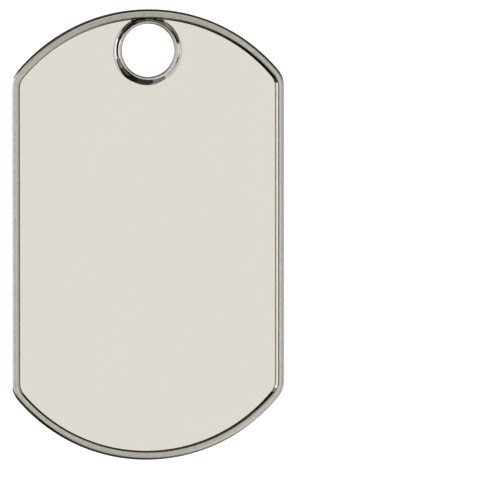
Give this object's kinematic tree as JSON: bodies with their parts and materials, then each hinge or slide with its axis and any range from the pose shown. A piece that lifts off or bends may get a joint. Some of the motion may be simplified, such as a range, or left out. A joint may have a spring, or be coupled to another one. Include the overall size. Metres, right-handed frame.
{
  "type": "identification dog tag",
  "caption": "Blank military-style identification tag: steel sheet with a rolled, raised rim, straight sides, wide arc ends and a collared hole at one end.",
  "frame": {"origin": "middle of the tag's outline, on the surface that its folded hem lies on", "axes": "+Y along the tag to the end with the hole, +X across it to the right as the face is seen, +Z out of the face"},
  "size_m": [0.0312, 0.0508, 0.0014],
  "materials": {
    "steel": "mirror-polished face and slopes, satin land on the rim and on the hole's lip"
  },
  "bodies": {
    "root": {"tag": "steel"}
  },
  "joints": []
}
